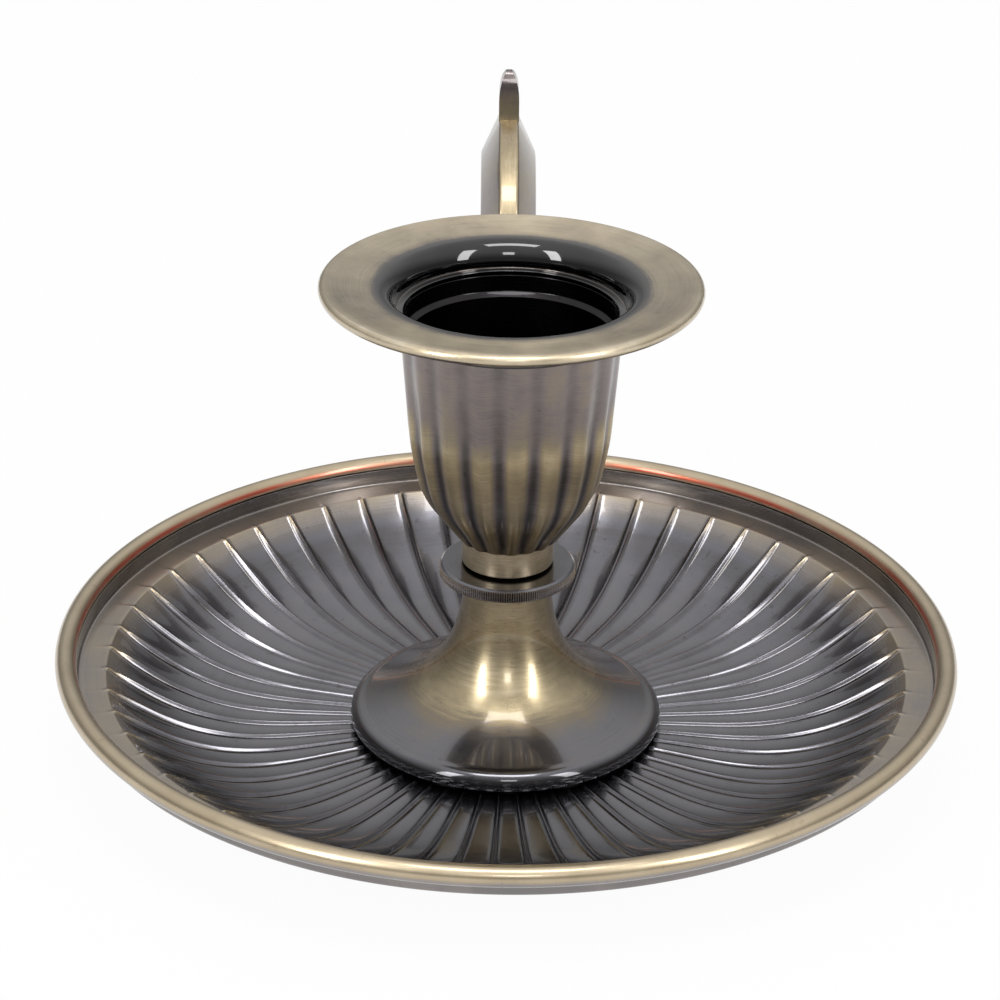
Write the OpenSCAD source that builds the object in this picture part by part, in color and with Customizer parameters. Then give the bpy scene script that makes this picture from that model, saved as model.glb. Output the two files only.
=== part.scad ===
// Chamberstick: a fluted dish with a rolled rim, a trumpet pedestal, a knurled lock ring,
// a fluted candle cup under a turned drip pan, and a cast finger loop with a thumb spur.
// The candle's axis is the middle of the dish. The frame's origin is the middle of the
// whole footprint, on the table, so every piece is set forward by frame_y.

/* [Dish] */
// Diameter over the rolled rim
dish_d = 105; // [102:0.5:108]
// Thickness of the pressed sheet
sheet = 0.7; // [0.6:0.05:0.8]
// Radius of the rim's rolled bead
bead_r = 1.2; // [1.15:0.05:1.3]
// Height of the shelf's top face above the table
shelf_z = 8.9; // [8.4:0.1:9.6]
// Width of the flat shelf inside the rim
shelf_w = 3.3; // [3.2:0.05:3.5]
// Height of the step from the shelf to the middle of the bead
step_h = 2.15; // [2:0.05:2.4]
// Radius at which the flat floor starts to curve up
floor_r = 24; // [22:0.5:26]
// How sharply the bowl curves up towards the shelf
bowl_power = 2.6; // [2.3:0.1:2.9]
// Number of raised ribs round the bowl
rib_count = 56; // [48:1:60]
// Height of a rib above the floor
rib_h = 0.5; // [0.4:0.05:0.6]
// Width of a rib
rib_w = 0.55; // [0.45:0.05:0.7]
// Radius of the flat on the raised middle
boss_r = 8; // [7.6:0.1:8.4]
// Radius of the foot of the raised middle
boss_foot_r = 13.6; // [13:0.1:14]

/* [Rim wire] */
// Radius of the wire that the rim is rolled over
wire_r = 0.65; // [0.5:0.05:0.65]

/* [Pedestal] */
// Radius of the pedestal's foot
foot_r = 18.3; // [17.6:0.1:19]
// Height of the pedestal
pedestal_h = 18.9; // [17:0.1:21]
// Radius that the trumpet narrows to
throat_r = 4.6; // [4.3:0.1:4.9]
// Length over which the trumpet's flare fades
flare_l = 4.55; // [4.2:0.05:4.8]
// Radius of the foot's rounded edge
foot_edge_r = 1.5; // [1.2:0.1:1.8]
// Wall of the hollow foot, measured down the axis
foot_wall = 1.5; // [1.2:0.1:1.8]
// Height of the hollow inside the foot
hollow_h = 9; // [8:0.1:10]

/* [Lock ring] */
// Radius over the knurl
ring_r = 7.88; // [7.2:0.01:8.6]
// Thickness of the ring
ring_t = 1.68; // [1.4:0.01:2.2]
// Number of teeth in the knurl
knurl_count = 180; // [120:1:200]
// Depth of the knurl
knurl_depth = 0.14; // [0.1:0.01:0.2]
// Bevel above and below the knurl
ring_bevel = 0.22; // [0.15:0.01:0.3]

/* [Cup] */
// Radius of the cup's plain neck
neck_r = 5.27; // [5:0.01:5.6]
// Height of the neck
neck_h = 3.1; // [2.6:0.1:3.6]
// Height of the fluted bowl above the neck
cup_h = 27.35; // [26:0.05:29]
// Outer radius of the cup's lip
cup_r = 12.62; // [12.4:0.01:13]
// Wall of the cup at a lobe
cup_wall = 1.0; // [0.9:0.05:1.1]
// Radius of the straight land at the cup's mouth
mouth_r = 12.08; // [12:0.01:12.1]
// Height of the straight land at the mouth
mouth_h = 2; // [1.6:0.1:2.4]
// Height of the cup's inner floor above the neck
cup_floor_h = 5.6; // [5.4:0.1:6.2]
// Number of flutes round the cup
flute_count = 18; // [14:1:20]
// Depth of the groove between two lobes
flute_depth = 0.42; // [0.3:0.02:0.5]
// Width of the groove between two lobes
flute_w = 0.8; // [0.6:0.05:1]

/* [Drip pan] */
// Radius over the drip pan's edge
pan_r = 21.6; // [20.5:0.1:23]
// Thickness of the pan's edge
pan_edge_t = 1.3; // [1.1:0.05:1.6]
// Rise from the cup's lip to the top of the pan's edge
pan_rise = 4.05; // [3.8:0.05:4.6]
// Fall of the pan's face from its edge to its throat
pan_fall = 0.5; // [0.3:0.05:0.8]
// Radius where the pan's face turns down into the throat
pan_throat_top_r = 15.2; // [14.8:0.1:16]
// Radius of the throat above the ledge
pan_throat_r = 12.95; // [12.9:0.01:13.1]
// Thickness of the ledge that sits on the cup's lip
ledge_t = 0.55; // [0.45:0.05:0.7]
// Depth of the recess that drops over the cup's lip
recess_h = 0.6; // [0.4:0.05:0.8]
// Wall of the hub round that recess
hub_wall = 1.25; // [1:0.05:1.5]

/* [Finger loop] */
// Outer radius of the loop
loop_r = 18.5; // [17.5:0.1:19]
// Radius of the finger hole
finger_r = 12; // [11.6:0.1:12.4]
// Width of the loop
loop_w = 7.1; // [6.6:0.1:7.6]
// Width of the flat facet that runs round the outside of the loop
facet_w = 2.34; // [2:0.02:2.8]
// Depth of the sloping facets beside it
facet_depth = 5.1; // [4.6:0.1:5.4]
// Distance from the candle's axis to the middle of the loop
loop_y = 65; // [64.7:0.05:65.4]
// Height of the middle of the loop above the table
loop_z = 34.3; // [33.6:0.1:35]
// Height of the thumb spur above the loop
spur_h = 6.2; // [5.4:0.1:7]
// Width of the thumb spur
spur_w = 2.6; // [2.2:0.1:3]
// Width of the foot that clasps the rim
clasp_w = 11; // [10:0.1:12]
// Thickness of the clasp over the bead
clasp_t = 1.4; // [1.2:0.1:1.8]
// Length of the clasp's lug on the shelf, measured towards the candle
lug_l = 4.4; // [4:0.1:5]

/* [Fasteners] */
// Radius of the central threaded stud
stud_r = 2.5; // [2.4:0.05:2.6]
// Length of stud that the cup screws on to
stud_grip = 5.85; // [5.7:0.05:6]
// Width across the flats of the nut under the dish
nut_af = 8; // [7.8:0.1:8.6]
// Thickness of that nut
nut_t = 2.7; // [2.4:0.1:2.8]
// Thickness of the split lock washer
split_t = 1.1; // [0.9:0.1:1.2]
// Thickness of the flat washer
washer_t = 1; // [0.8:0.1:1.1]
// Radius of the flat washer
washer_r = 5; // [4.9:0.1:5.4]
// Thickness of the thin washer under the cup
shim_t = 0.26; // [0.2:0.02:0.4]
// Radius of the thin washer under the cup
shim_r = 4.3; // [4:0.1:4.8]
// Radius of a handle screw's shank
screw_r = 0.8; // [0.75:0.01:0.85]
// Radius of a handle screw's head
screw_head_r = 1.45; // [1.35:0.01:1.5]
// Thickness of a handle screw's head
screw_head_t = 1; // [0.9:0.05:1.2]
// Distance between the two handle screws
screw_gap = 6.8; // [6.4:0.1:7.2]
// Length of a handle screw in the lug
screw_bite = 2.9; // [2.4:0.1:3.1]

/* [Clearances] */
// Radial clearance of a thread in its tapped hole
thread_gap = 0.05; // [0.03:0.01:0.08]
// Radial clearance of a shank in a plain hole
hole_gap = 0.2; // [0.1:0.05:0.3]
// Clearance between pieces that are seated over each other
seat_gap = 0.06; // [0.04:0.01:0.08]
// Clearance between the nut and the table
table_gap = 0.3; // [0.2:0.05:0.5]

/* [Hidden] */
$fn = 96;

// A small overlap that lets a cut run past the face it opens
past = 1;
// How far a rib is let into the sheet, as a share of the sheet
rib_root = 0.45;
// Steps along the curved bowl, the trumpet and a rounded edge
bowl_steps = 9;
flare_steps = 10;
edge_steps = 5;
// How far the upright lies behind the front of the loop, so that their faces cross cleanly
stem_inset = 0.15;
// How far the step's wall stands inside the rolled bead
wall_proud = 0.1;
// How far the stud ends above the nut's lower face
stud_short = 0.1;
// Distance from the step's wall to the middle of a handle screw
screw_inset = 1.55;
// Spare depth below the end of a shank in a blind hole
blind_spare = 0.3;
// Radius of the round at the dish's shelf, as a share of the sheet
shelf_turn = 0.4;
// Shares of the bowl's curve at which a rib's crest, its root and the underside end
crest_end = 0.94;
root_end = 0.97;
under_end = 0.96;
// Distance from the foot of the raised middle to the start of a rib
rib_start = 1.2;
// Height at which a rib runs out over the shelf's inner edge
rib_lip = 0.15;

dish_r = dish_d / 2;
bead_mid_r = dish_r - bead_r;
bead_mid_z = shelf_z + step_h;
rim_z = bead_mid_z + bead_r;
bore_wire_r = wire_r + thread_gap;
// Height of the slit where the sheet's edge meets the wall again
rim_slit = 0.18;
wall_r = bead_mid_r - bead_r - wall_proud;
bowl_end_r = wall_r - shelf_w;
boss_z = table_gap + nut_t + split_t + washer_t;
crest_z = sheet + rib_h;

ring_z = crest_z + pedestal_h;
shim_z = ring_z + ring_t;
cup_z = shim_z + shim_t;
bowl_z = cup_z + neck_h;
lip_z = bowl_z + cup_h;
stud_bottom_z = table_gap + stud_short;
stud_top_z = cup_z + stud_grip;
loop_top_z = loop_z + loop_r;
// The whole object reaches from the front of the dish to the back of the loop
frame_y = (loop_y + loop_r - dish_r) / 2;
screw_y = wall_r - screw_inset;

// The cup's outline from the neck up, as shares of cup_h and cup_r
cup_outline = [[0, 0.451], [0.035, 0.510], [0.073, 0.574], [0.123, 0.654], [0.180, 0.742],
               [0.257, 0.819], [0.353, 0.870], [0.468, 0.914], [0.603, 0.938],
               [0.757, 0.964], [0.910, 0.988], [1, 1]];
// Number of outline points that shape the solid bottom of the cup
cup_bottom_points = 5;

module placed() translate([0, -frame_y, 0]) children();

// Cuts a round hole of radius r that runs from z0 to z1
module bore(r, z0, z1) translate([0, 0, z0]) cylinder(h = z1 - z0, r = r);

// A flat ring on the axis
module disc(r, hole, t) {
    difference() {
        cylinder(h = t, r = r);
        bore(hole, -past, t + past);
    }
}

// Extrudes a polygon drawn in y and z to a width along x, centred on x = 0
module side_plate(width, points) {
    rotate([90, 0, 90]) translate([0, 0, -width / 2]) linear_extrude(width) polygon(points);
}

// Height and slope of the bowl's inner face at a share u of its curve
function bowl_h(u) = sheet + (shelf_z - sheet) * pow(u, bowl_power);
function bowl_rise(u) =
    atan((shelf_z - sheet) * bowl_power * pow(u, bowl_power - 1) / (bowl_end_r - floor_r));
// A point of the bowl set off by d, square to its inner face
function bowl_point(u, d) = [floor_r + u * (bowl_end_r - floor_r) - d * sin(bowl_rise(u)),
                             bowl_h(u) + d * cos(bowl_rise(u))];
function bowl_curve(d, last) = [for (i = [0:bowl_steps]) bowl_point(last * i / bowl_steps, d)];
function reversed(list) = [for (i = [len(list) - 1:-1:0]) list[i]];

module dish_sheet() {
    slope_shift = sheet * tan((90 - atan((boss_foot_r - boss_r) / boss_z)) / 2);
    rotate_extrude() polygon(concat(
        [[stud_r + hole_gap, boss_z + sheet], [boss_r, boss_z + sheet], [boss_foot_r, sheet]],
        bowl_curve(0, 1),
        [[wall_r, shelf_z], [wall_r, bead_mid_z - rim_slit], [wall_r + sheet, bead_mid_z - rim_slit],
         [wall_r + sheet, shelf_z - sheet], [bowl_end_r + sheet * shelf_turn, shelf_z - sheet]],
        reversed(bowl_curve(-sheet, under_end)),
        [[boss_foot_r - slope_shift, 0], [boss_r - slope_shift, boss_z],
         [stud_r + hole_gap, boss_z]]));
}

// A ring of round section at the middle of the rim
module rim_ring(r) rotate_extrude() translate([bead_mid_r, bead_mid_z]) circle(r);

// Room for the wire inside the rim, with the slit through which the wire shows
module wire_channel() {
    rim_ring(bore_wire_r);
    rotate_extrude() translate([wall_r - past, bead_mid_z - rim_slit]) square([past + bead_r, rim_slit]);
}

// One raised rib, from under the pedestal's foot to the shelf
module rib() {
    inner_r = boss_foot_r + rib_start;
    outer_r = bowl_end_r + 2 * rib_lip;
    side_plate(rib_w, concat([[inner_r, crest_z]], bowl_curve(rib_h, crest_end),
                             [[bowl_end_r, shelf_z + rib_lip], [outer_r, shelf_z + rib_lip],
                              [outer_r, shelf_z - sheet * rib_root]],
                             reversed(bowl_curve(-sheet * rib_root, root_end)),
                             [[inner_r, sheet * (1 - rib_root)]]));
}

module handle_screw_holes(r, z0, z1) {
    for (side = [-1, 1]) translate([side * screw_gap / 2, screw_y, 0]) bore(r, z0, z1);
}

// Pressed dish: raised middle, flat ribbed floor, curved wall, shelf, step and rolled rim
module dish() placed() color("#6f6552") {
    difference() {
        union() {
            dish_sheet();
            rim_ring(bead_r);
            for (i = [0:rib_count - 1]) rotate(i * 360 / rib_count) rib();
        }
        wire_channel();
        handle_screw_holes(screw_r + hole_gap / 2, shelf_z - 2 * sheet, shelf_z + past);
    }
}

// Wire that stiffens the rolled rim
module rim_wire() placed() color("#b4623a") rim_ring(wire_r);

// Height of the foot's straight edge below its rounding, and the bevel under it
foot_lip = 0.9;
foot_bevel = 0.35;
flare_h = foot_edge_r + foot_lip;
// Outer radius of the trumpet at a height above its foot
function flare_r(h) = throat_r + (foot_r - foot_edge_r - throat_r) * exp(-(h - flare_h) / flare_l);

// Hollow cast pedestal that stands on the ribs
module pedestal() placed() color("#8d8063") {
    edge = [for (i = [0:edge_steps]) let (a = 90 * i / edge_steps)
            [foot_r - foot_edge_r + foot_edge_r * cos(a), foot_lip + foot_edge_r * sin(a)]];
    flare = [for (i = [1:flare_steps]) let (h = flare_h + (pedestal_h - flare_h) * i / flare_steps)
             [flare_r(h), h]];
    hollow_low = flare_h - foot_wall * 0.4;
    side_wall = foot_wall / 3;
    hollow = [for (i = [0:flare_steps]) let (h = hollow_low + (hollow_h - hollow_low) * i / flare_steps)
              [flare_r(h + foot_wall) - side_wall, h]];
    translate([0, 0, crest_z]) difference() {
        rotate_extrude() polygon(concat([[0, 0], [foot_r - foot_bevel, 0]], edge, flare, [[0, pedestal_h]]));
        rotate_extrude() polygon(concat([[0, -past], [foot_r - 2 * foot_edge_r, -past]],
                                        hollow, [[0, hollow_h]]));
        bore(stud_r + thread_gap, 0, pedestal_h + past);
    }
}

// Stud that runs from the nut up into the cup
module stud() placed() color("#9a958a") {
    tip = 0.5;
    translate([0, 0, stud_bottom_z]) {
        cylinder(h = tip, r1 = stud_r - tip, r2 = stud_r);
        translate([0, 0, tip]) cylinder(h = stud_top_z - stud_bottom_z - 2 * tip, r = stud_r);
        translate([0, 0, stud_top_z - stud_bottom_z - tip]) cylinder(h = tip, r1 = stud_r, r2 = stud_r - tip);
    }
}

module flat_washer() placed() color("#a39b88") {
    translate([0, 0, boss_z - washer_t]) disc(washer_r, stud_r + hole_gap, washer_t);
}

// Split spring washer, with its gap
module split_washer() placed() color("#8b8578") {
    split_r = stud_r + 1.7;
    split_w = 0.6;
    translate([0, 0, table_gap + nut_t]) difference() {
        disc(split_r, stud_r + hole_gap, split_t);
        translate([0, -split_w / 2, -past]) cube([split_r + past, split_w, split_t + 2 * past]);
    }
}

module hex_nut() placed() color("#a39b88") {
    translate([0, 0, table_gap]) difference() {
        cylinder(h = nut_t, r = nut_af / 2 / cos(30), $fn = 6);
        bore(stud_r + thread_gap, -past, nut_t + past);
    }
}

// Knurled ring that locks the cup's thread
module lock_ring() placed() color("#5b5348") {
    teeth = [for (i = [0:2 * knurl_count - 1])
             let (r = ring_r - (i % 2) * knurl_depth, a = 180 * i / knurl_count) [r * cos(a), r * sin(a)]];
    face_r = ring_r - knurl_depth - ring_bevel / 4;
    translate([0, 0, ring_z]) difference() {
        union() {
            translate([0, 0, ring_bevel]) linear_extrude(ring_t - 2 * ring_bevel) polygon(teeth);
            cylinder(h = ring_bevel, r1 = face_r - ring_bevel, r2 = face_r);
            translate([0, 0, ring_t - ring_bevel]) cylinder(h = ring_bevel, r1 = face_r, r2 = face_r - ring_bevel);
        }
        bore(stud_r + thread_gap, -past, ring_t + past);
    }
}

// Thin washer that stays on the cup's thread and rises with the cup
module cup_washer() placed() color("#4d463b") {
    translate([0, 0, shim_z]) disc(shim_r, stud_r + thread_gap, shim_t);
}

// Outline points of the cup from point number start, moved in by d
function cup_side(start, d) =
    [for (i = [start:len(cup_outline) - 1]) [cup_outline[i][1] * cup_r - d, cup_outline[i][0] * cup_h]];

module cup_blank() {
    rotate_extrude() polygon(concat([[0, -neck_h], [neck_r, -neck_h], [neck_r, 0]],
                                    cup_side(0, 0), [[0, cup_h]]));
}

// Room for the candle: a straight land at the mouth over a tapered, round-bottomed socket
module candle_socket() {
    floor_edge_r = cup_outline[cup_bottom_points][1] * cup_r - 3 * cup_wall;
    rotate_extrude() polygon(concat(
        [[0, cup_floor_h], [floor_edge_r, cup_floor_h]],
        cup_side(cup_bottom_points, cup_wall),
        [[0, cup_h]]));
    bore(mouth_r, cup_h - mouth_h, cup_h + past);
}

// One groove between two lobes, from just above the neck to the drip pan
module flute() {
    side = cup_side(0, flute_depth);
    run_out = 0.5;
    cutter_w = 3;
    low = [side[1][0] - run_out / 2, side[1][1] - run_out];
    inner = concat([low], [for (i = [1:len(side) - 2]) side[i]], [[side[len(side) - 1][0], cup_h - recess_h]]);
    outer = [for (p = inner) [p[0] + cutter_w, p[1]]];
    side_plate(flute_w, concat(inner, reversed(outer)));
}

// Fluted candle cup with its tapped neck
module candle_cup() placed() color("#8d8063") {
    translate([0, 0, bowl_z]) difference() {
        cup_blank();
        candle_socket();
        bore(stud_r + thread_gap, -neck_h - past, stud_grip - neck_h + blind_spare);
        for (i = [0:flute_count - 1]) rotate((i + 0.5) * 360 / flute_count) flute();
    }
}

// Turned drip pan: a round-edged face that falls to a throat, with a ledge on the cup's lip
module drip_pan() placed() color("#94876a") {
    face_z = pan_rise - pan_fall;
    turn_w = pan_throat_top_r - pan_throat_r;
    turn_h = face_z - ledge_t;
    edge_r = pan_edge_t / 2;
    hub_r = cup_r + seat_gap + hub_wall;
    under_z = face_z - pan_edge_t;
    fillet = 0.6;
    throat = [for (i = [0:edge_steps]) let (a = 90 * i / edge_steps)
              [pan_throat_top_r - turn_w * cos(a), ledge_t + turn_h * sin(a)]];
    rim = [for (i = [0:2 * edge_steps]) let (a = 90 - 180 * i / (2 * edge_steps))
           [pan_r - edge_r + edge_r * cos(a), pan_rise - edge_r + edge_r * sin(a)]];
    translate([0, 0, lip_z]) rotate_extrude() polygon(concat(
        [[mouth_r, 0], [mouth_r, ledge_t]], throat, rim,
        [[pan_throat_top_r + fillet, under_z], [hub_r + fillet / 3, under_z - fillet * 1.3],
         [hub_r, -recess_h], [cup_r + seat_gap, -recess_h], [cup_r + seat_gap, 0]]));
}

// Ring of the loop: a flat facet outside, sloping facets and plain sides
module loop_ring() {
    half = loop_w / 2;
    soft = 0.5;
    translate([0, loop_y, loop_z]) rotate([0, 90, 0]) rotate_extrude() polygon([
        [loop_r, -facet_w / 2], [loop_r, facet_w / 2], [loop_r - facet_depth, half],
        [finger_r + soft, half], [finger_r, half - soft], [finger_r, soft - half],
        [finger_r + soft, -half], [loop_r - facet_depth, -half]]);
}

// The thumb spur seen from the side: distances behind the middle of the loop and above its top
spur_side = [[-2.3, -1.5], [-0.2, 1.9], [0.6, spur_h - 1.2], [1.5, spur_h], [2.6, spur_h - 0.1],
             [3.6, spur_h - 1.4], [4.3, 2.1], [6.5, -2.3]];
// How far the spur's front outline runs down into the loop
spur_root = 2.5;

// Horn on top of the loop for the thumb, thin across and rounded at its tip
module thumb_spur() {
    half = spur_w / 2;
    taper = 3 * half;
    round_tip = [for (i = [0:2 * edge_steps]) let (a = 180 * i / (2 * edge_steps))
                 [half * cos(a), spur_h - taper * (1 - sin(a))]];
    translate([0, loop_y, loop_top_z]) intersection() {
        side_plate(spur_w, spur_side);
        rotate([90, 0, 0]) linear_extrude(2 * loop_r, center = true)
            polygon(concat([[half, -spur_root]], round_tip, [[-half, -spur_root]]));
    }
}

// Foot that clasps the bead and stands on the shelf
module clasp() {
    lug_y = wall_r - seat_gap;
    over_z = rim_z + clasp_t;
    out_y = dish_r + clasp_t * 0.6;
    front_bevel = 1.3;
    back_bevel = 0.7;
    side_plate(clasp_w, [[lug_y - lug_l, shelf_z], [lug_y - lug_l, over_z - front_bevel],
                         [lug_y - lug_l + front_bevel, over_z], [out_y - back_bevel, over_z],
                         [out_y, over_z - back_bevel], [out_y, bead_mid_z], [lug_y, bead_mid_z], [lug_y, shelf_z]]);
}

// Upright from the clasp to the loop, with the loop's own section
module stem() {
    half = loop_w / 2;
    front = loop_y - loop_r + stem_inset;
    back = loop_y - finger_r - 2 * stem_inset;
    base = rim_z + clasp_t / 2;
    translate([0, 0, base]) linear_extrude(loop_z - base) polygon([
        [-facet_w / 2, front], [facet_w / 2, front], [half, front + facet_depth], [half, back],
        [-half, back], [-half, front + facet_depth]]);
}

// Cast finger loop, its thumb spur and its foot in one piece
module finger_loop() placed() color("#85795f") {
    difference() {
        union() {
            loop_ring();
            thumb_spur();
            clasp();
            stem();
        }
        rim_ring(bead_r + seat_gap);
        translate([0, loop_y, loop_z]) rotate([0, 90, 0])
            translate([0, 0, -loop_w]) cylinder(h = 2 * loop_w, r = finger_r);
        rotate_extrude() translate([wall_r - seat_gap, shelf_z - past])
            square([bead_r, step_h + past]);
        handle_screw_holes(screw_r + thread_gap, shelf_z - past, shelf_z + screw_bite + blind_spare);
    }
}

// Slotted screw, head down, that comes up through the shelf into the lug
module handle_screw() {
    slot_w = 0.4;
    difference() {
        union() {
            translate([0, 0, -screw_head_t]) cylinder(h = screw_head_t, r = screw_head_r);
            cylinder(h = sheet + screw_bite, r = screw_r);
        }
        translate([-screw_head_r - past, -slot_w / 2, -screw_head_t - past])
            cube([2 * (screw_head_r + past), slot_w, past + screw_head_t / 2]);
    }
}

module handle_screws() placed() color("#8f7d58") {
    for (side = [-1, 1])
        translate([side * screw_gap / 2, screw_y, shelf_z - sheet]) handle_screw();
}

dish();
rim_wire();
pedestal();
stud();
flat_washer();
split_washer();
hex_nut();
lock_ring();
cup_washer();
candle_cup();
drip_pan();
finger_loop();
handle_screws();
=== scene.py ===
# %% [markdown]
# # A taper candle holder with a finger loop
# The holder is a pressed dish with a rolled rim. A trumpet pedestal stands in the middle of it,
# a knurled ring locks the fluted cup above, and a turned pan catches the drips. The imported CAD
# model is loaded first and stays fixed: every piece below is made in its place, in metres.

# %% Load the fixed frame
import math

import bpy
from mathutils import Matrix, Vector


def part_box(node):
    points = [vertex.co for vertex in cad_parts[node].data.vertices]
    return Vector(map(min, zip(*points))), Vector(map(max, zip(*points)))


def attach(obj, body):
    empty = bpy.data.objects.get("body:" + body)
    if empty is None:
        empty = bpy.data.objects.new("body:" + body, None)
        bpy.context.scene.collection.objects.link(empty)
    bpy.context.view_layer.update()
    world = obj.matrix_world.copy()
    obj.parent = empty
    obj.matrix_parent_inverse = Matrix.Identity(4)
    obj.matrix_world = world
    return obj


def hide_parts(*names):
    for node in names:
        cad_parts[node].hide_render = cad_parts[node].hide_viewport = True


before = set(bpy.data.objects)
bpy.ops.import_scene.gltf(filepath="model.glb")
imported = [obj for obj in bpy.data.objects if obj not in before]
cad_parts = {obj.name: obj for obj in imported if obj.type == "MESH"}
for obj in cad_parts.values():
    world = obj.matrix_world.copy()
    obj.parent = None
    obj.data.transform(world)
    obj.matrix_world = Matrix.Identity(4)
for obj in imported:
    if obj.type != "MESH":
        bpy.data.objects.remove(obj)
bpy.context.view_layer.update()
MM = 0.001

cup_low, cup_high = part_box("candle_cup")
AXIS = Vector(((cup_low[0] + cup_high[0]) / 2, (cup_low[1] + cup_high[1]) / 2, 0))

# %% [markdown]
# ## Small tools for the bench
# A turned piece starts as an outline of half its section. The outline is drawn in edit mode by
# extruding one corner from point to point, and is then spun round the candle's axis, which is how
# a lathe or a metal spinner makes the real one. Corners are rounded in the outline, because a real
# edge is never sharp. Distances in an outline are millimetres from the axis and above the table.


# %% Outlines
def rounded(points, steps=4):
    """The outline with every corner that has a third number rounded off, that far back from it."""
    out = []
    count = len(points)
    for i, point in enumerate(points):
        here = Vector(point[:2])
        if len(point) < 3:
            out.append(here)
            continue
        before, after = Vector(points[i - 1][:2]), Vector(points[(i + 1) % count][:2])
        start = here + (before - here).normalized() * point[2]
        end = here + (after - here).normalized() * point[2]
        for k in range(steps + 1):
            t = k / steps
            out.append(start * (1 - t) ** 2 + here * 2 * t * (1 - t) + end * t ** 2)
    return [tuple(p) for p in out]


def arc(centre, radius, first, last, steps):
    """Points on a circle, from one angle in degrees to another."""
    turns = [math.radians(first + (last - first) * k / steps) for k in range(steps + 1)]
    return [(centre[0] + radius * math.cos(a), centre[1] + radius * math.sin(a)) for a in turns]


def flowing(points, steps=4):
    """A smooth curve through the points."""
    out = []
    for i in range(len(points) - 1):
        p0, p1 = Vector(points[max(i - 1, 0)]), Vector(points[i])
        p2, p3 = Vector(points[i + 1]), Vector(points[min(i + 2, len(points) - 1)])
        for k in range(steps):
            t = k / steps
            out.append(tuple(0.5 * (2 * p1 + (p2 - p0) * t + (2 * p0 - 5 * p1 + 4 * p2 - p3) * t ** 2
                                    + (3 * p1 - p0 - 3 * p2 + p3) * t ** 3)))
    return out + [tuple(points[-1])]


# %% Edit mode
def deselect_all():
    for thing in bpy.context.selected_objects:
        thing.select_set(False)


def activate(piece):
    """Makes one object the only selected one, and the active one."""
    deselect_all()
    piece.select_set(True)
    bpy.context.view_layer.objects.active = piece


def apply_modifier(piece, kind, **settings):
    activate(piece)
    modifier = piece.modifiers.new(kind.lower(), kind)
    for key, value in settings.items():
        setattr(modifier, key, value)
    bpy.ops.object.modifier_apply(modifier=modifier.name)


def draw(name, corners):
    """A wire through the corners: a small plane is merged to one vertex, which is extruded on."""
    deselect_all()
    bpy.ops.mesh.primitive_plane_add(size=MM, location=corners[0])
    piece = bpy.context.object
    piece.name = piece.data.name = name
    bpy.ops.object.mode_set(mode="EDIT")
    bpy.ops.mesh.select_all(action="SELECT")
    bpy.ops.mesh.merge(type="CENTER")
    for here, there in zip(corners, corners[1:]):
        bpy.ops.mesh.extrude_region_move(TRANSFORM_OT_translate={"value": Vector(there) - Vector(here)})
    return piece


def settle(piece):
    """Merges doubles, turns the faces outwards and puts the object's origin at the frame's."""
    bpy.ops.mesh.select_all(action="SELECT")
    bpy.ops.mesh.remove_doubles(threshold=0.001 * MM)
    bpy.ops.mesh.normals_make_consistent(inside=False)
    bpy.ops.object.mode_set(mode="OBJECT")
    piece.data.transform(piece.matrix_world)
    piece.matrix_world = Matrix.Identity(4)
    activate(piece)
    return piece


def turned(name, outline, steps):
    """Spins a closed outline, given in millimetres from the axis and above the table."""
    corners = [AXIS + Vector((r * MM, 0, z * MM)) for r, z in outline]
    piece = draw(name, corners + [corners[0]])
    bpy.ops.mesh.select_all(action="SELECT")
    bpy.ops.mesh.remove_doubles(threshold=0.001 * MM)
    bpy.ops.mesh.spin(steps=steps, angle=math.tau, center=AXIS, axis=(0, 0, 1))
    return settle(piece)


def reshape(piece, rule):
    """Moves each vertex and notes its tone. The rule gets radius, angle and height, in mm and turns,
    and returns the new three with the tone: how far the dark finish is rubbed back there, and in places painted light
    and shade."""
    tone = piece.data.attributes.new("tone", "FLOAT", "POINT")
    for vertex in piece.data.vertices:
        flat = vertex.co - AXIS
        r, turn = math.hypot(flat.x, flat.y) / MM, math.atan2(flat.y, flat.x) / math.tau % 1
        r, turn, z, value = rule(r, turn, vertex.co.z / MM)
        angle = turn * math.tau
        vertex.co = AXIS + Vector((r * math.cos(angle), r * math.sin(angle), z)) * MM
        tone.data[vertex.index].value = value
    piece.data.update()


def finish_piece(piece, body, nodes, material, sharp=30):
    """Smooths the faces up to an angle, gives the finish, and hands the piece to its body."""
    activate(piece)
    bpy.ops.object.shade_smooth_by_angle(angle=math.radians(sharp))
    piece.data.materials.clear()
    piece.data.materials.append(material)
    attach(piece, body)
    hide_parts(*nodes)
    print(piece.name, len(piece.data.polygons), "faces, rides on", body)


def ease(value, low, high):
    """0 below low, 1 above high, and a soft change between them."""
    t = min(max((value - low) / (high - low), 0), 1)
    return t * t * (3 - 2 * t)


# %% [markdown]
# ## Finishes
# The whole holder is antique brass: a brass-plated zinc casting or steel pressing that is blackened,
# then brushed back on what stands proud, and lacquered. So there is one rule for all its pieces. Each
# mesh carries a tone, 0 in the black hollows and 1 on the rubbed edges, which a colour ramp turns
# into metal; in places the tone also holds painted light and shade. Brushing adds fine lines that run one way, in the
# colour, the roughness and the bump.
# The lacquer is a thin clear coat, which gives the sharp white glints in the black parts.


# %% Colour and one function that adds a node
def colour(code):
    """A colour written as sRGB hex, made linear for the shader."""
    parts = [int(code[i:i + 2], 16) / 255 for i in (1, 3, 5)]
    return tuple(p / 12.92 if p <= 0.04045 else ((p + 0.055) / 1.055) ** 2.4 for p in parts) + (1,)


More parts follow.
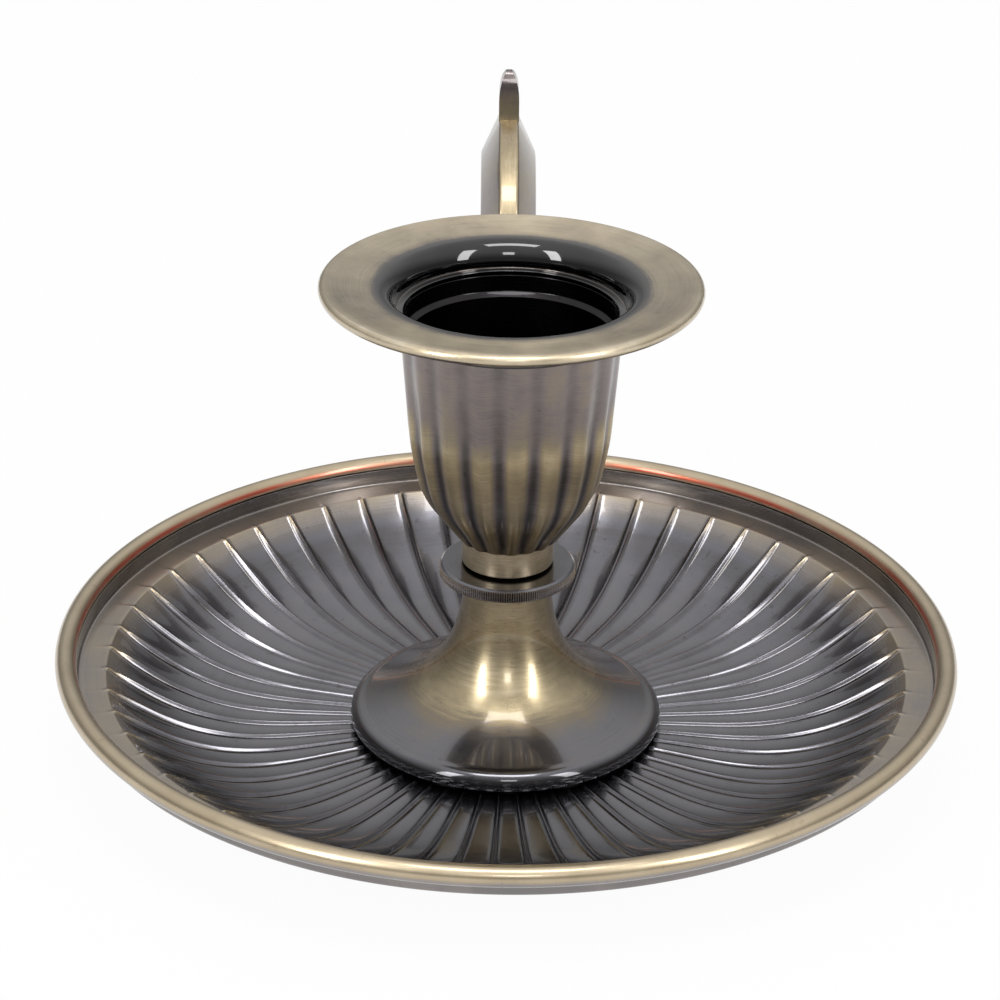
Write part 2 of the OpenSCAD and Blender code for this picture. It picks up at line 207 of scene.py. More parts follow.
def add(tree, kind, inputs, **settings):
    """Adds a node. An input gets a value, or a link if it is given another node's socket."""
    new = tree.nodes.new("ShaderNode" + kind)
    for key, value in settings.items():
        setattr(new, key, value)
    for key, value in inputs.items():
        if isinstance(value, bpy.types.NodeSocket):
            tree.links.new(value, new.inputs[key])
        else:
            new.inputs[key].default_value = value
    return new


def ramp(tree, factor, stops):
    """Adds a colour ramp with stops of place and colour."""
    new = add(tree, "ValToRGB", {"Fac": factor})
    bar = new.color_ramp
    while len(bar.elements) < len(stops):
        bar.elements.new(0.5)
    for element, (place, code) in zip(bar.elements, sorted(stops)):
        element.position = place
        element.color = colour(code)
    return new.outputs["Color"]


def new_material(name):
    material = bpy.data.materials.new(name)
    material.use_nodes = True
    tree = material.node_tree
    return material, tree, tree.nodes["Principled BSDF"]


# %% Antique brass
BRUSH_MM = 0.09   # spacing of the brush lines, drawn a little coarser than the real 0.05 mm
CLOUD_MM = 6.0    # size of the cloudy changes left by hand rubbing
PIT_MM = 0.9      # spacing of small pits and specks in the plating


def antique_brass(name, stops, brushed="round", brush=0.5, rough=(0.22, 0.42), cloud=0.16, pits=0.12, lacquer=0.6):
    """Blackened and rubbed brass. brushed is round the axis, or along the loop."""
    material, tree, shader = new_material(name)
    place = add(tree, "TexCoord", {}).outputs["Object"]
    centred = add(tree, "Mapping", {"Vector": place, "Location": -AXIS}).outputs["Vector"]
    parts = add(tree, "SeparateXYZ", {"Vector": centred}).outputs
    flat = add(tree, "CombineXYZ", {"X": parts["X"], "Y": parts["Y"], "Z": 0.0}).outputs["Vector"]
    radius = add(tree, "VectorMath", {0: flat}, operation="LENGTH").outputs["Value"]
    around = add(tree, "VectorMath", {0: flat}, operation="NORMALIZE").outputs["Vector"]
    across = add(tree, "Math", {0: radius, 1: parts["Z"]}, operation="ADD").outputs["Value"]
    if brushed == "round":
        # lines run round the axis: slow round the circle, fast outwards and upwards
        turning = add(tree, "VectorMath", {0: around, "Scale": 2.2}, operation="SCALE").outputs["Vector"]
        fast = add(tree, "Math", {0: across, 1: 1 / (BRUSH_MM * MM)}, operation="MULTIPLY").outputs["Value"]
        climb = add(tree, "CombineXYZ", {"X": 0.0, "Y": 0.0, "Z": fast}).outputs["Vector"]
        lines_at = add(tree, "VectorMath", {0: turning, 1: climb}, operation="ADD").outputs["Vector"]
    else:
        # lines run along the loop: fast across its face, slow along it
        lines_at = add(tree, "VectorMath", {0: centred, 1: [s / (BRUSH_MM * MM) for s in (1.0, 0.04, 0.04)]},
                       operation="MULTIPLY").outputs["Vector"]
    lines = add(tree, "TexNoise", {"Vector": lines_at, "Scale": 1.0, "Detail": 3.0, "Roughness": 0.6}).outputs["Fac"]
    clouds = add(tree, "TexNoise", {"Vector": centred, "Scale": 1 / (CLOUD_MM * MM), "Detail": 4.0,
                                    "Roughness": 0.55}).outputs["Fac"]
    specks = add(tree, "TexNoise", {"Vector": centred, "Scale": 1 / (PIT_MM * MM), "Detail": 2.0,
                                    "Roughness": 0.4}).outputs["Fac"]
    pit = add(tree, "MapRange", {"Value": specks, "From Min": 0.24, "From Max": 0.34, "To Min": 1.0,
                                 "To Max": 0.0}).outputs["Result"]
    tone = add(tree, "Attribute", {}, attribute_name="tone").outputs["Fac"]
    brushing = add(tree, "MapRange", {"Value": lines, "From Min": 0.3, "From Max": 0.7, "To Min": -0.22 * brush,
                                      "To Max": 0.22 * brush}).outputs["Result"]
    clouding = add(tree, "MapRange", {"Value": clouds, "From Min": 0.3, "From Max": 0.7, "To Min": -cloud,
                                      "To Max": cloud}).outputs["Result"]
    # both patterns matter most on the rubbed metal and hardly at all in the black hollows
    both = add(tree, "Math", {0: brushing, 1: clouding}, operation="ADD").outputs["Value"]
    strength = add(tree, "MapRange", {"Value": tone, "From Min": 0.0, "From Max": 0.5, "To Min": 0.2,
                                      "To Max": 1.0}).outputs["Result"]
    change = add(tree, "Math", {0: both, 1: strength}, operation="MULTIPLY").outputs["Value"]
    shown = add(tree, "Math", {0: tone, 1: change}, operation="ADD").outputs["Value"]
    pitted = add(tree, "Math", {0: pit, 1: -pits * 0.5, 2: shown}, operation="MULTIPLY_ADD").outputs["Value"]
    tree.links.new(ramp(tree, pitted, stops), shader.inputs["Base Color"])
    gloss = add(tree, "MapRange", {"Value": shown, "From Min": 0.0, "From Max": 0.8, "To Min": rough[0],
                                   "To Max": rough[1]}).outputs["Result"]
    grain = add(tree, "Math", {0: lines, 1: 0.22 * brush, 2: gloss}, operation="MULTIPLY_ADD").outputs["Value"]
    tree.links.new(grain, shader.inputs["Roughness"])
    height = add(tree, "Math", {0: pit, 1: -1.5, 2: lines}, operation="MULTIPLY_ADD").outputs["Value"]
    bump = add(tree, "Bump", {"Height": height, "Strength": 0.25 * brush, "Distance": 0.02 * MM})
    tree.links.new(bump.outputs["Normal"], shader.inputs["Normal"])
    shader.inputs["Metallic"].default_value = 1.0
    shader.inputs["Coat Weight"].default_value = lacquer
    shader.inputs["Coat Roughness"].default_value = 0.04
    shader.inputs["Coat IOR"].default_value = 1.65
    if brushed == "round":
        # brushed metal spreads a highlight square to its lines
        tangent = add(tree, "Tangent", {}, direction_type="RADIAL", axis="Z").outputs["Tangent"]
        tree.links.new(tangent, shader.inputs["Tangent"])
        shader.inputs["Anisotropic"].default_value = min(1.6 * brush, 0.75)
        shader.inputs["Anisotropic Rotation"].default_value = 0.25
    return material


# dark gloss, steel grey, taupe, khaki and the rubbed edges, for pressed, turned and cast pieces
DISH_STOPS = [(0.0, "#161518"), (0.16, "#3f3b39"), (0.3, "#6c6b71"), (0.42, "#7a7573"), (0.5, "#8e8783"),
              (0.6, "#a09586"), (0.7, "#b3a286"), (0.88, "#cfc0a4"), (1.0, "#eadfc9")]
GOLD_STOPS = [(0.0, "#121115"), (0.26, "#68676c"), (0.45, "#7f735f"), (0.62, "#a59676"), (0.78, "#c3b497"),
              (0.9, "#dccfb6"), (1.0, "#f3ead6")]
PAN_STOPS = [(0.0, "#0c0b0e"), (0.26, "#4c4744"), (0.45, "#85796b"), (0.62, "#b8a88c"), (0.78, "#cdbd9f"),
             (0.9, "#ded0b6"), (1.0, "#f3ead6")]
MAUVE_STOPS = [(0.0, "#18161a"), (0.25, "#54504d"), (0.45, "#807674"), (0.6, "#938770"), (0.75, "#b3a282"),
               (0.9, "#dccfb6"), (1.0, "#f0e6d2")]

dish_finish = antique_brass("antique_brass_pressed_dish", DISH_STOPS, brush=0.16, rough=(0.14, 0.32), cloud=0.05)
pedestal_finish = antique_brass("antique_brass_brushed_round", GOLD_STOPS, brush=0.3, rough=(0.1, 0.3), cloud=0.06)
cup_finish = antique_brass("antique_brass_brushed_cup", MAUVE_STOPS, brush=0.28, rough=(0.24, 0.34), cloud=0.09,
                           lacquer=0.25)
pan_finish = antique_brass("antique_brass_turned_pan", PAN_STOPS, brush=0.42, rough=(0.05, 0.36), cloud=0.12,
                           lacquer=1.0)
ring_finish = antique_brass("gunmetal_brass_knurled", DISH_STOPS, brush=0.2, rough=(0.12, 0.28), cloud=0.04)
loop_finish = antique_brass("antique_brass_cast_loop", MAUVE_STOPS, brushed="loop", brush=0.26, rough=(0.22, 0.34),
                            cloud=0.08)
print("brass finishes:", dish_finish.name, pedestal_finish.name, cup_finish.name, pan_finish.name)

# %% [markdown]
# ## The dish
# The real dish is one sheet, pressed so that 56 shallow gutters run out from the pedestal and up the
# wall, with a sharp ridge between each two, and its rim is rolled over a wire. It could be a flat disc
# with a displacement, but the silhouette and the underside have to be fluted too. So the section of the
# sheet, both faces of it, is spun round, and then every vertex of the fluted zone is lifted square to
# the sheet by its place across a gutter. The spin's steps are crowded towards the ridges.

# %% Dish
dish_low, dish_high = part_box("dish")
DISH_R = (dish_high[0] - dish_low[0]) / 2 / MM
RIM_Z = dish_high[2] / MM
BEAD_R = 1.2
SHEET = 0.7
SHELF_Z = 8.9
SHELF_W = 3.3
FLOOR_R = 24.0
BOWL_POWER = 2.6
GUTTERS = 56
GUTTER_STEPS = 14
RIDGE_H = (0.42, 0.75)       # height of a ridge on the floor and at the top of the wall
RIDGE_W = 0.44               # width of a ridge's sharp crest
RIDGE_TURN = -2.38 / 360     # the ridges' place round the dish, in turns
BOSS = ((8.0, 5.8), (13.6, SHEET))
STUD_HOLE_R = 2.7
WIRE_BORE_R = 0.7
SLIT = 0.18

bead = (DISH_R - BEAD_R, RIM_Z - BEAD_R)
WALL_R = bead[0] - BEAD_R - 0.1
BOWL_R = WALL_R - SHELF_W


def bowl(u, d):
    """A point of the curved wall at a share u of its width, d off its upper face."""
    rise = math.atan((SHELF_Z - SHEET) * BOWL_POWER * u ** (BOWL_POWER - 1) / (BOWL_R - FLOOR_R))
    return (FLOOR_R + u * (BOWL_R - FLOOR_R) - d * math.sin(rise),
            SHEET + (SHELF_Z - SHEET) * u ** BOWL_POWER + d * math.cos(rise))


bowl_steps = 18
upper = [bowl(k / bowl_steps, 0) for k in range(bowl_steps)]
under = [bowl(0.97 * k / bowl_steps, -SHEET) for k in range(bowl_steps, -1, -1)]
floor_in = [(BOSS[1][0] + (FLOOR_R - BOSS[1][0]) * s, 0) for s in (0.12, 0.3, 0.5, 0.75)]
slit_low = bead[1] - SLIT
bore_start = 180 + math.degrees(math.asin(SLIT / WIRE_BORE_R))
dish_outline = (
    rounded([(STUD_HOLE_R, BOSS[0][1]), (*BOSS[0], 0.8), (*BOSS[1], 0.9)])[:-1]
    + [(r, SHEET) for r, _ in floor_in] + upper
    + rounded([upper[-1], (BOWL_R, SHELF_Z, 0.14), (BOWL_R + 0.4, SHELF_Z), (BOWL_R + 0.75, SHELF_Z),
               (WALL_R, SHELF_Z, 0.3), (WALL_R, slit_low, 0.05),
               (bead[0] + 0.1 - WIRE_BORE_R, slit_low)])[1:-1]
    + arc(bead, WIRE_BORE_R, bore_start, 540, 10) + arc(bead, BEAD_R, 180, -120, 22)
    + rounded([(WALL_R + SHEET, bead[1] - BEAD_R), (WALL_R + SHEET, SHELF_Z - SHEET, 0.5),
               (BOWL_R + 0.3, SHELF_Z - SHEET, 0.2), under[0]])[1:-1]
    + under + [(r, 0) for r, _ in reversed(floor_in)]
    + rounded([(15, 0), (BOSS[1][0] - 0.35, 0, 0.5), (BOSS[0][0] - 0.35, BOSS[0][1] - SHEET, 0.6),
               (STUD_HOLE_R, BOSS[0][1] - SHEET)])[1:])


def dish_rule(r, turn, z):
    """Crowds the steps towards the ridges, lifts the sheet into gutters and gives each place its tone, with painted
    shade on the ridges' flanks and under the rim's bead.
    """
    place = (turn - RIDGE_TURN) * GUTTERS
    middle = math.floor(place) + 0.5
    t = place - middle
    t += 0.75 * math.sin(math.tau * t) / math.tau
    turn = (middle + t) / GUTTERS + RIDGE_TURN
    width = math.tau * r / GUTTERS
    from_ridge = (0.5 - abs(t)) * width
    crest = math.exp(-(from_ridge / (RIDGE_W * 0.5)) ** 2)
    cove = (2 * abs(t)) ** 2
    u = min(max((r - FLOOR_R) / (BOWL_R - FLOOR_R), 0), 1)
    inside = ease(r, BOSS[1][0] + 0.8, BOSS[1][0] + 2.2) * (1 - ease(r, BOWL_R + 0.3, BOWL_R + 0.7))
    high = RIDGE_H[0] + (RIDGE_H[1] - RIDGE_H[0]) * u
    lift = inside * high * (0.72 * crest * (1 - 0.35 * ease(u, 0.88, 1)) + 0.28 * cove * (1 - ease(u, 0.8, 0.98)))
    rise = math.atan((SHELF_Z - SHEET) * BOWL_POWER * u ** (BOWL_POWER - 1) / (BOWL_R - FLOOR_R))
    if r > BOWL_R + 0.2:
        lift, rise = 0.06 * crest * inside, 0
    fade = 1 - ease(z, SHELF_Z - 0.3, SHELF_Z - 0.02) * 0.8 * (rise > 0)
    new_r, new_z = r - lift * math.sin(rise), z + lift * math.cos(rise) * fade
    if r > BOWL_R + 0.2:
        tone = 0.58 - 0.1 * crest * inside - 0.1 * ease(r, WALL_R - 0.4, WALL_R - 0.1)
        if z > SHELF_Z + 0.4:
            tone = 0.46
        # painted shade: the bead's outer face darkens towards its underside, and the outer wall under the bead is
        # painted grey
        if math.hypot(r - bead[0], z - bead[1]) > BEAD_R - 0.02 and r > WALL_R + 0.02:
            tone = 0.42 + 0.34 * ease(z, bead[1] - 0.7, bead[1] + 0.2)
        elif r > WALL_R + SHEET / 2:
            tone = 0.34
    else:
        # painted shade: a dark line is painted along both flanks of every ridge
        ridge_flank_shade = math.exp(-((from_ridge - 0.42) / 0.2) ** 2)
        tone = 0.31 - 0.06 * ease(u, 0.6, 0.8) + 0.36 * ease(u, 0.84, 1.0)
        tone += (0.12 * ease(u, 0.7, 0.95) * crest - 0.1 * ridge_flank_shade) * inside
    return new_r, turn, new_z, tone


dish = turned("dish_pressed", dish_outline, GUTTERS * GUTTER_STEPS)
reshape(dish, dish_rule)
finish_piece(dish, "base", ["dish"], dish_finish, sharp=40)

# %% [markdown]
# A copper-coloured line runs along the inner edge of the rolled rim, where the plating has not
# reached into the seam. It is a paint mask by place: the seam is the only part of the dish at
# that radius and height, so the mask needs no texture of its own.

# %% Copper in the rim's seam
tree = dish_finish.node_tree
shader = tree.nodes["Principled BSDF"]
base_colour = shader.inputs["Base Color"].links[0].from_socket
place = add(tree, "TexCoord", {}).outputs["Object"]
centred = add(tree, "Mapping", {"Vector": place, "Location": -AXIS}).outputs["Vector"]
parts = add(tree, "SeparateXYZ", {"Vector": centred}).outputs
flat = add(tree, "CombineXYZ", {"X": parts["X"], "Y": parts["Y"], "Z": 0.0}).outputs["Vector"]
radius = add(tree, "VectorMath", {0: flat}, operation="LENGTH").outputs["Value"]
near_r = add(tree, "Math", {0: radius, 1: (WALL_R + 0.2) * MM, 2: 0.3 * MM}, operation="COMPARE").outputs["Value"]
above = add(tree, "Math", {0: parts["Z"], 1: (bead[1] + 0.45) * MM}, operation="SUBTRACT").outputs["Value"]
away = add(tree, "Math", {0: above}, operation="ABSOLUTE").outputs["Value"]
near_z = add(tree, "MapRange", {"Value": away, "From Min": 0.1 * MM, "From Max": 0.4 * MM, "To Min": 1.0,
                                "To Max": 0.0}).outputs["Result"]
patches = add(tree, "TexNoise", {"Vector": centred, "Scale": 1 / (14 * MM), "Detail": 3.0}).outputs["Fac"]
patchy = add(tree, "MapRange", {"Value": patches, "From Min": 0.38, "From Max": 0.56, "To Min": 0.3,
                                "To Max": 1.0}).outputs["Result"]
seam_line = add(tree, "Math", {0: near_r, 1: near_z}, operation="MULTIPLY").outputs["Value"]
seam = add(tree, "Math", {0: seam_line, 1: patchy}, operation="MULTIPLY").outputs["Value"]
coppered = add(tree, "Mix", {0: seam, "A": base_colour, "B": colour("#d8694d")}, data_type="RGBA")
tree.links.new(coppered.outputs["Result"], shader.inputs["Base Color"])
print("seam of copper at", round(WALL_R + 0.15, 2), "mm")

# %% [markdown]
# ## The pedestal
# A hollow casting, turned and brushed on a lathe: a glossy domed foot, painted black round its edge and steel grey on
# its dome as a painted reflection of the dark dish and room, that sweeps up into a narrow trumpet. Its flare is an
# exponential curve, as a trumpet's bell is, so the outline is written as that formula and spun. The foot stands on the
# crests of the dish's ridges.

# %% Pedestal
low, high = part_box("pedestal")
foot_z, top_z = low[2] / MM, high[2] / MM
FOOT_R = (high[0] - low[0]) / 2 / MM
THROAT_R = 4.6
FLARE_MM = 4.55
FOOT_EDGE_R = 1.5
FOOT_LIP = 0.9
BORE_R = 2.55
flare_z = foot_z + FOOT_LIP + FOOT_EDGE_R


def flare(z):
    """The trumpet's radius at a height."""
    return THROAT_R + (FOOT_R - FOOT_EDGE_R - THROAT_R) * math.exp(-(z - flare_z) / FLARE_MM)


flare_steps = 34
trumpet = [(flare(z), z) for z in (flare_z + (top_z - flare_z) * (k / flare_steps) ** 1.3
                                   for k in range(1, flare_steps))]
hollow_top = foot_z + 9.0
pedestal_outline = (
    rounded([(FOOT_R - 3.0, foot_z, 0.2), (FOOT_R - 0.1, foot_z, 0.35)])
    + arc((FOOT_R - FOOT_EDGE_R, foot_z + FOOT_LIP), FOOT_EDGE_R, -10, 90, 9) + trumpet
    + rounded([trumpet[-1], (flare(top_z), top_z, 0.2), (BORE_R, top_z, 0.2), (BORE_R, hollow_top)])[1:-1]
    + rounded([(BORE_R, top_z), (BORE_R, hollow_top), (flare(hollow_top + 1.5) - 0.5, hollow_top, 0.8),
               (flare(foot_z + 5.5) - 0.5, foot_z + 4.0, 1.2)])[1:]
    + [(flare(foot_z + 3.7) - 0.6, foot_z + 2.4)])


def pedestal_rule(r, turn, z):
    """Black round the foot's edge and steel grey on its dome, a painted reflection of the dark dish and room; rubbed
    brass from the sweep upwards.
    """
    # painted reflection: black round the foot's edge and steel grey on its dome, for the dark dish and room mirrored
    # there
    tone = 0.03 + 0.24 * ease(z, foot_z + 1.7, foot_z + 2.35) + 0.38 * ease(z, foot_z + 3.3, foot_z + 7.0)
    return r, turn, z, tone


pedestal = turned("pedestal_trumpet", pedestal_outline, 160)
reshape(pedestal, pedestal_rule)
finish_piece(pedestal, "base", ["pedestal"], pedestal_finish, sharp=35)

# %% [markdown]
# ## The lock ring
# A flat turned ring with a fine straight knurl round its edge and a polished top. The knurl is real
# geometry: the ring is spun with four steps to a tooth, and the rim's vertices go in and out. The teeth are light on
# their crests and dark in their valleys: rubbed and blackened finish, with painted light and shade added.

# %% Lock ring
low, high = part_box("lock_ring")
ring_low, ring_high = low[2] / MM, high[2] / MM
RING_R = (high[0] - low[0]) / 2 / MM
TEETH = 180
TOOTH_MM = 0.14
RING_BEVEL = 0.22
face_r = RING_R - TOOTH_MM - RING_BEVEL
ring_outline = rounded(
    [(BORE_R, ring_low, 0.1), (face_r - 0.12, ring_low), (face_r, ring_low, 0.04),
     (RING_R - TOOTH_MM, ring_low + RING_BEVEL, 0.03), (RING_R, ring_low + RING_BEVEL + 0.04, 0.02),
     (RING_R, ring_high - RING_BEVEL - 0.04, 0.02), (RING_R - TOOTH_MM, ring_high - RING_BEVEL, 0.03),
     (face_r, ring_high, 0.04), (face_r - 0.12, ring_high), (BORE_R, ring_high, 0.1)], 2)


def ring_rule(r, turn, z):
    """Cuts the teeth into the rim, lightens their crests and darkens their valleys with rubbed finish and painted
    light and shade, and leaves the top dark with a bright bevel.
    """
    tooth = abs((turn * TEETH) % 1 - 0.5) * 2
    rim = ease(r, RING_R - TOOTH_MM - 0.01, RING_R - 0.02)
    # the knurl's crests are light and its valleys dark: rubbed and blackened finish, with painted light and shade
    # added
    tone = 0.1 + 0.6 * (1 - tooth) * rim
    if face_r - 0.05 < r < RING_R - TOOTH_MM + 0.02:
        tone = 0.3
    elif r < face_r:
        tone = 0.24
    return r - TOOTH_MM * tooth * rim, turn, z, tone


ring = turned("lock_ring_knurled", ring_outline, TEETH * 4)
reshape(ring, ring_rule)
finish_piece(ring, "ring", ["lock_ring"], ring_finish, sharp=25)

# %% [markdown]
# ## The candle cup
# A casting with eighteen lobes, like a closed tulip, on a plain neck. The lobes are a soft wave in
# plan, deep and dark in the grooves below, and shallow above, where they are painted grey as a painted reflection of
# the pan's dark underside. The outline is a smooth curve through a few measured points. It is spun with its socket,
# and the outer face alone is drawn in at the grooves.

# %% Candle cup
cup_z = cup_low[2] / MM
lip_z = cup_high[2] / MM
CUP_R = (cup_high[0] - cup_low[0]) / 2 / MM
NECK_R = 5.27
bowl_z = cup_z + 3.1
cup_h = lip_z - bowl_z
MOUTH_R = 12.08
MOUTH_H = 2.0
CUP_WALL = 1.0
LOBES = 18
LOBE_STEPS = 16
GROOVE_MM = 0.52
LOBE_TURN = 3.92 / 360
CUP_SHARES = [(0.451, 0), (0.510, 0.035), (0.574, 0.073), (0.654, 0.123), (0.742, 0.180), (0.819, 0.257),
              (0.870, 0.353), (0.914, 0.468), (0.938, 0.603), (0.964, 0.757), (0.988, 0.910), (1, 1)]
cup_side = flowing([(r * 12.62, bowl_z + h * cup_h) for r, h in CUP_SHARES], 4)
socket = [(r - CUP_WALL, z) for r, z in flowing([(r * 12.62, bowl_z + h * cup_h) for r, h in CUP_SHARES[5:]], 3)
          if z < lip_z - MOUTH_H - 0.2]
cup_outline = (
    rounded([(BORE_R, cup_z, 0.15), (NECK_R, cup_z, 0.2), (NECK_R, bowl_z, 0.08), cup_side[1]])[:-1] + cup_side[1:-1]
    + rounded([cup_side[-2], (CUP_R, lip_z, 0.15), (MOUTH_R, lip_z, 0.15), (MOUTH_R, lip_z - MOUTH_H, 0.1), socket[-1]])[1:-1]
    + list(reversed(socket))
    + rounded([socket[0], (socket[0][0] - 2.2, bowl_z + 5.6, 1.5), (0.001, bowl_z + 5.6)])[1:]
    + [(0.001, bowl_z + 3.05), (BORE_R, bowl_z + 3.05)])


def outer_r(z):
    """The cup's outer radius at a height."""
    for (r0, z0), (r1, z1) in zip(cup_side, cup_side[1:]):
        if z <= z1:
            return r0 + (r1 - r0) * max(z - z0, 0) / (z1 - z0)
    return CUP_R


def cup_rule(r, turn, z):
    """Draws the outer face in at the grooves; gold below, greyer above as a painted reflection of the pan's dark
    underside, black in the grooves, and black inside and underneath as painted shade.
    """
    place = (turn - LOBE_TURN) * LOBES
    middle = math.floor(place) + 0.5
    t = place - middle
    t += 0.2 * math.sin(math.tau * t) / math.tau
    turn = (middle + t) / LOBES + LOBE_TURN
    outside = r > outer_r(z) - 0.3 and z > bowl_z + 0.1
    if not outside:
        if z < bowl_z + 0.1 and r > NECK_R - 0.3:
            return r, turn, z, 0.8
        # painted shade: all but the outer face and the neck is painted black, for the shade in the socket and under
        # the cup
        return r, turn, z, 0.02
    share = (z - bowl_z) / cup_h
    # painted reflection: the upper half is painted greyer, for the pan's dark underside mirrored in it
    upper_half = ease(share, 0.52, 0.66)
    depth = GROOVE_MM * ease(z, bowl_z, bowl_z + 2.2) * (1 - 0.5 * ease(share, 0.55, 0.85))
    draw_in = depth * math.sin(math.pi * t) ** 2
    end = 0.5 * (1 - ease(z, bowl_z + 0.1, bowl_z + 1.6)) * abs(2 * t) ** 3
    groove = ease(abs(2 * t), 0.4, 0.95)
    tone = 0.7 - 0.24 * upper_half - (0.45 - 0.35 * upper_half) * groove
    return r - draw_in - end, turn, z, tone


cup = turned("candle_cup_lobed", cup_outline, LOBES * LOBE_STEPS)
reshape(cup, cup_rule)
finish_piece(cup, "cup", ["candle_cup"], cup_finish, sharp=32)

# %% [markdown]
# ## The drip pan
# Turned from a thick disc: a brushed face that falls gently to a glossy black throat, a thin ledge that
# sits on the cup's lip, and a full round edge rubbed bright. It is one closed outline, spun.

# %% Drip pan
low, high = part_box("drip_pan")
PAN_R = (high[0] - low[0]) / 2 / MM
pan_top = high[2] / MM
PAN_EDGE = 0.65
LEDGE = 0.55
THROAT = (12.95, 15.2)
face_z = pan_top - 0.5
hub_r = 12.62 + 0.06 + 1.25
throat = [(THROAT[1] - (THROAT[1] - THROAT[0]) * math.cos(a), lip_z + LEDGE + (face_z - lip_z - LEDGE) * math.sin(a))
          for a in (math.radians(90 * k / 12) for k in range(13))]
face = [(THROAT[1] + (PAN_R - PAN_EDGE - THROAT[1]) * s, face_z + (pan_top - face_z) * s ** 1.6)
        for s in (0.12, 0.25, 0.4, 0.55, 0.7, 0.85)]
pan_outline = (
    rounded([(MOUTH_R, lip_z + 0.02, 0.05), (MOUTH_R, lip_z + LEDGE, 0.15), (THROAT[0], lip_z + LEDGE, 0.1), throat[1]])[:-1]
    + throat[1:] + face + arc((PAN_R - PAN_EDGE, pan_top - PAN_EDGE), PAN_EDGE, 90, -90, 14)
    + rounded([(PAN_R - PAN_EDGE, pan_top - 2 * PAN_EDGE), (THROAT[1] + 0.6, face_z - 1.3, 1.6), (hub_r, face_z - 2.1, 0.8),
               (hub_r, lip_z - 0.6, 0.15), (12.68, lip_z - 0.6, 0.1), (12.68, lip_z + 0.02)])[1:])


def pan_rule(r, turn, z):
    """Black throat, and a black mouth below the ledge with painted shade in the hole; brushed face, bright worn edge,
    darker underneath.
    """
    on_top = z > pan_top - 1.0 or r < THROAT[1] + 0.2
    tone = 0.02 + 0.68 * ease(r, THROAT[1] - 0.7, THROAT[1] + 1.2) + 0.12 * ease(r, PAN_R - 2.0, PAN_R - 0.7)
    # the mouth below the ledge is black: the throat's black finish running on, and painted shade in the hole
    if z < lip_z + LEDGE + 0.2 and r < THROAT[0] + 0.15:
        tone = 0.28 if z > lip_z + 0.4 and r > MOUTH_R + 0.2 else 0.03
    if not on_top:
        tone = 0.4
    edge = math.hypot(r - PAN_R + PAN_EDGE, z - pan_top + PAN_EDGE) > PAN_EDGE - 0.02 and r > PAN_R - PAN_EDGE
    if edge:
        tone = 0.52 + 0.28 * ease(z, pan_top - 1.0, pan_top - 0.5)
    return r, turn, z, tone


pan = turned("drip_pan_turned", pan_outline, 240)
reshape(pan, pan_rule)
finish_piece(pan, "cup", ["drip_pan"], pan_finish, sharp=35)

# %% [markdown]
# ## The finger loop
# A casting: a ring with a narrow flat facet round its outside and two wide sloping ones beside it, an
# upright of the same section, a foot that clasps the rim, and a thumb spur. Each form is drawn with its
# edges already rounded, and Boolean unions then weld them into one shell, as the mould does.

# %% Finger loop
low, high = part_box("finger_loop")
loop_back = (high[1] - AXIS.y) / MM
LOOP_R = 18.5
FINGER_R = 12.0
LOOP_W = 7.1
FACET_W = 2.34
FACET_DEPTH = 5.1
loop_y = loop_back - LOOP_R
SPUR_H = 6.2
loop_z = high[2] / MM - SPUR_H - LOOP_R
half = LOOP_W / 2
section = rounded([(LOOP_R, -FACET_W / 2, 0.3), (LOOP_R, FACET_W / 2, 0.3), (LOOP_R - FACET_DEPTH, half, 0.35),
                   (FINGER_R, half, 0.7), (FINGER_R, -half, 0.7), (LOOP_R - FACET_DEPTH, -half, 0.35)], 3)


def at(x, y, z):
    """A point given in millimetres about the candle's axis."""
    return AXIS + Vector((x, y, z)) * MM


def prism(name, corners, push):
    """A closed outline of points, filled and extruded by a vector."""
    piece = draw(name, corners)
    bpy.ops.mesh.select_all(action="SELECT")
    bpy.ops.mesh.edge_face_add()
    bpy.ops.mesh.extrude_region_move(TRANSFORM_OT_translate={"value": push})
    return settle(piece)


def combine(piece, tool, operation):
    """Welds the tool to the piece or cuts it away, and deletes the tool."""
    apply_modifier(piece, "BOOLEAN", operation=operation, solver="EXACT", object=tool)
    bpy.data.objects.remove(tool)


corners = [at(x, loop_y + r, loop_z) for r, x in section]
loop = draw("finger_loop_cast", corners + [corners[0]])
bpy.ops.mesh.select_all(action="SELECT")
bpy.ops.mesh.remove_doubles(threshold=0.001 * MM)
bpy.ops.mesh.spin(steps=120, angle=math.tau, center=at(0, loop_y, loop_z), axis=(1, 0, 0))
settle(loop)

front = loop_y - LOOP_R + 0.15
stem_back = loop_y - FINGER_R - 0.3
stem_base = RIM_Z + 0.7
side = half - 0.03
stem_section = rounded([(-FACET_W / 2, front, 0.3), (FACET_W / 2, front, 0.3), (side, front + FACET_DEPTH, 0.35),
                        (side, stem_back, 0.3), (-side, stem_back, 0.3), (-side, front + FACET_DEPTH, 0.35)], 3)
stem = prism("stem", [at(x, y, stem_base) for x, y in stem_section], Vector((0, 0, (loop_z - stem_base) * MM)))
combine(loop, stem, "UNION")

